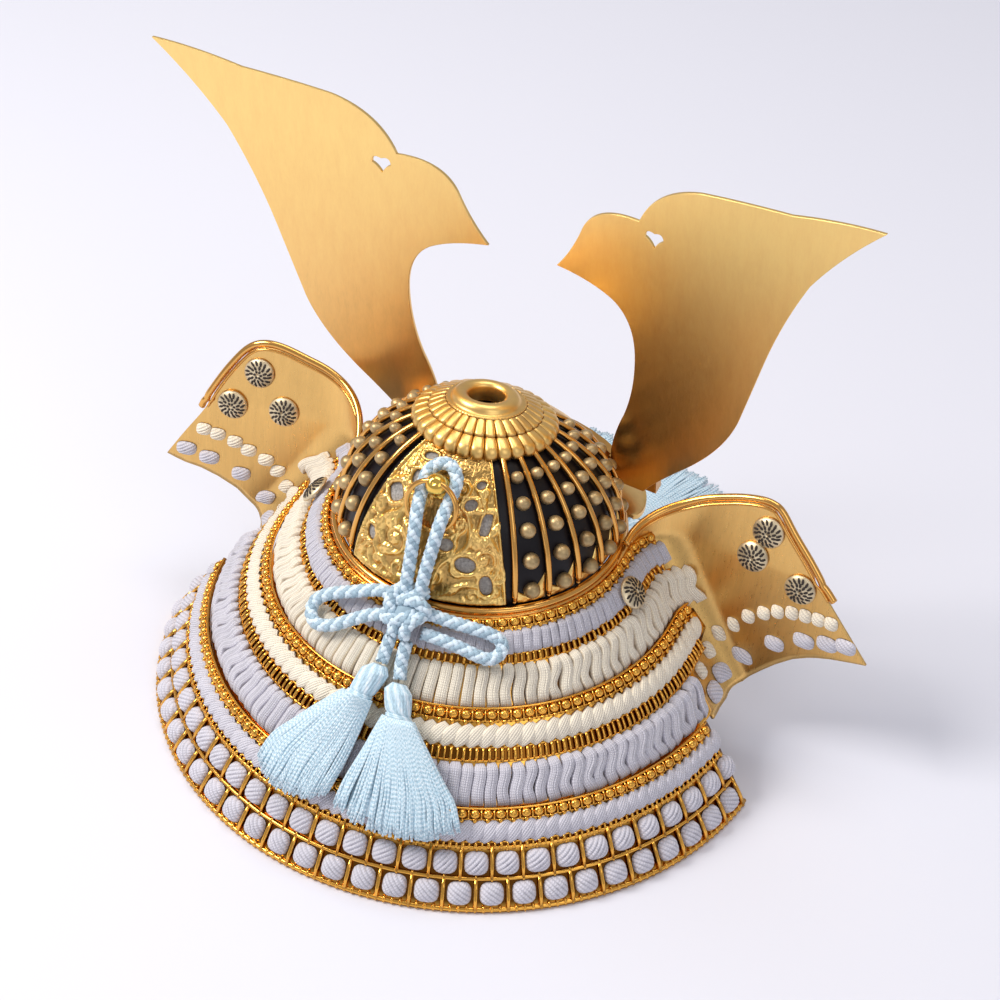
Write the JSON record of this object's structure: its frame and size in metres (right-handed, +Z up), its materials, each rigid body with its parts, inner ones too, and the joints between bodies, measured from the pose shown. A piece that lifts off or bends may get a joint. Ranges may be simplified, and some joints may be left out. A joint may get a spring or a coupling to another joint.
{
  "type": "samurai helmet",
  "caption": "Display kabuto: riveted black bowl with gold ribs, laced skirt of curved lames, turned-back side plates, tall flat horns, a blue bow and tassels behind.",
  "frame": {"origin": "on the surface that the helmet stands on, below the middle of the helmet without its loose cords", "axes": "+Z up, +Y towards the front of the helmet, +X towards its wearer's right"},
  "size_m": [0.2262, 0.2273, 0.19],
  "materials": {
    "black_ground": "black lacquer ground with satin beige-gold rivets",
    "amber_gold": "polished deep gold plate",
    "gold": "brushed light gold plate",
    "stud_metal": "matt beige with black slots",
    "cream_lacing": "flat braid",
    "lavender_lacing": "flat braid",
    "blue_cord": "round braided cord and cut fringe"
  },
  "bodies": {
    "root": {"hachi_bowl": "black_ground", "suji_ribs_and_rim": "amber_gold", "lame_top": "amber_gold", "lame_middle": "amber_gold", "lame_bottom": "amber_gold", "kuwagata_dai": "amber_gold", "fukurin_left": "amber_gold", "fukurin_right": "amber_gold", "chin_eyelet_left": "amber_gold", "chin_eyelet_right": "amber_gold", "back_panel": "gold", "front_panel": "gold", "tehen_finial": "gold", "kan_knob": "gold", "kan_ring": "gold", "mabizashi_visor": "gold", "fukigaeshi_left": "gold", "fukigaeshi_right": "gold", "kuwagata_left": "gold", "kuwagata_right": "gold", "stud_left_1": "stud_metal", "stud_left_2": "stud_metal", "stud_left_3": "stud_metal", "stud_right_1": "stud_metal", "stud_right_2": "stud_metal", "stud_right_3": "stud_metal", "stud_side_left": "stud_metal", "stud_side_right": "stud_metal", "lacing_cream": "cream_lacing", "stitch_cream": "cream_lacing", "flap_knots_cream_left": "cream_lacing", "flap_knots_cream_right": "cream_lacing", "lacing_thin": "lavender_lacing", "lacing_lavender": "lavender_lacing", "stitch_lavender": "lavender_lacing", "knots_upper": "lavender_lacing", "knots_lower": "lavender_lacing", "flap_knots_lavender_left": "lavender_lacing", "flap_knots_lavender_right": "lavender_lacing", "cord_loop": "blue_cord", "cord_knot": "blue_cord", "cord_bow_left": "blue_cord", "cord_bow_right": "blue_cord", "cord_tail_left": "blue_cord", "cord_tail_right": "blue_cord", "tassel_left": "blue_cord", "tassel_right": "blue_cord", "chin_cord_left": "blue_cord", "chin_cord_right": "blue_cord", "chin_tassel_left": "blue_cord", "chin_tassel_right": "blue_cord"}
  },
  "joints": []
}
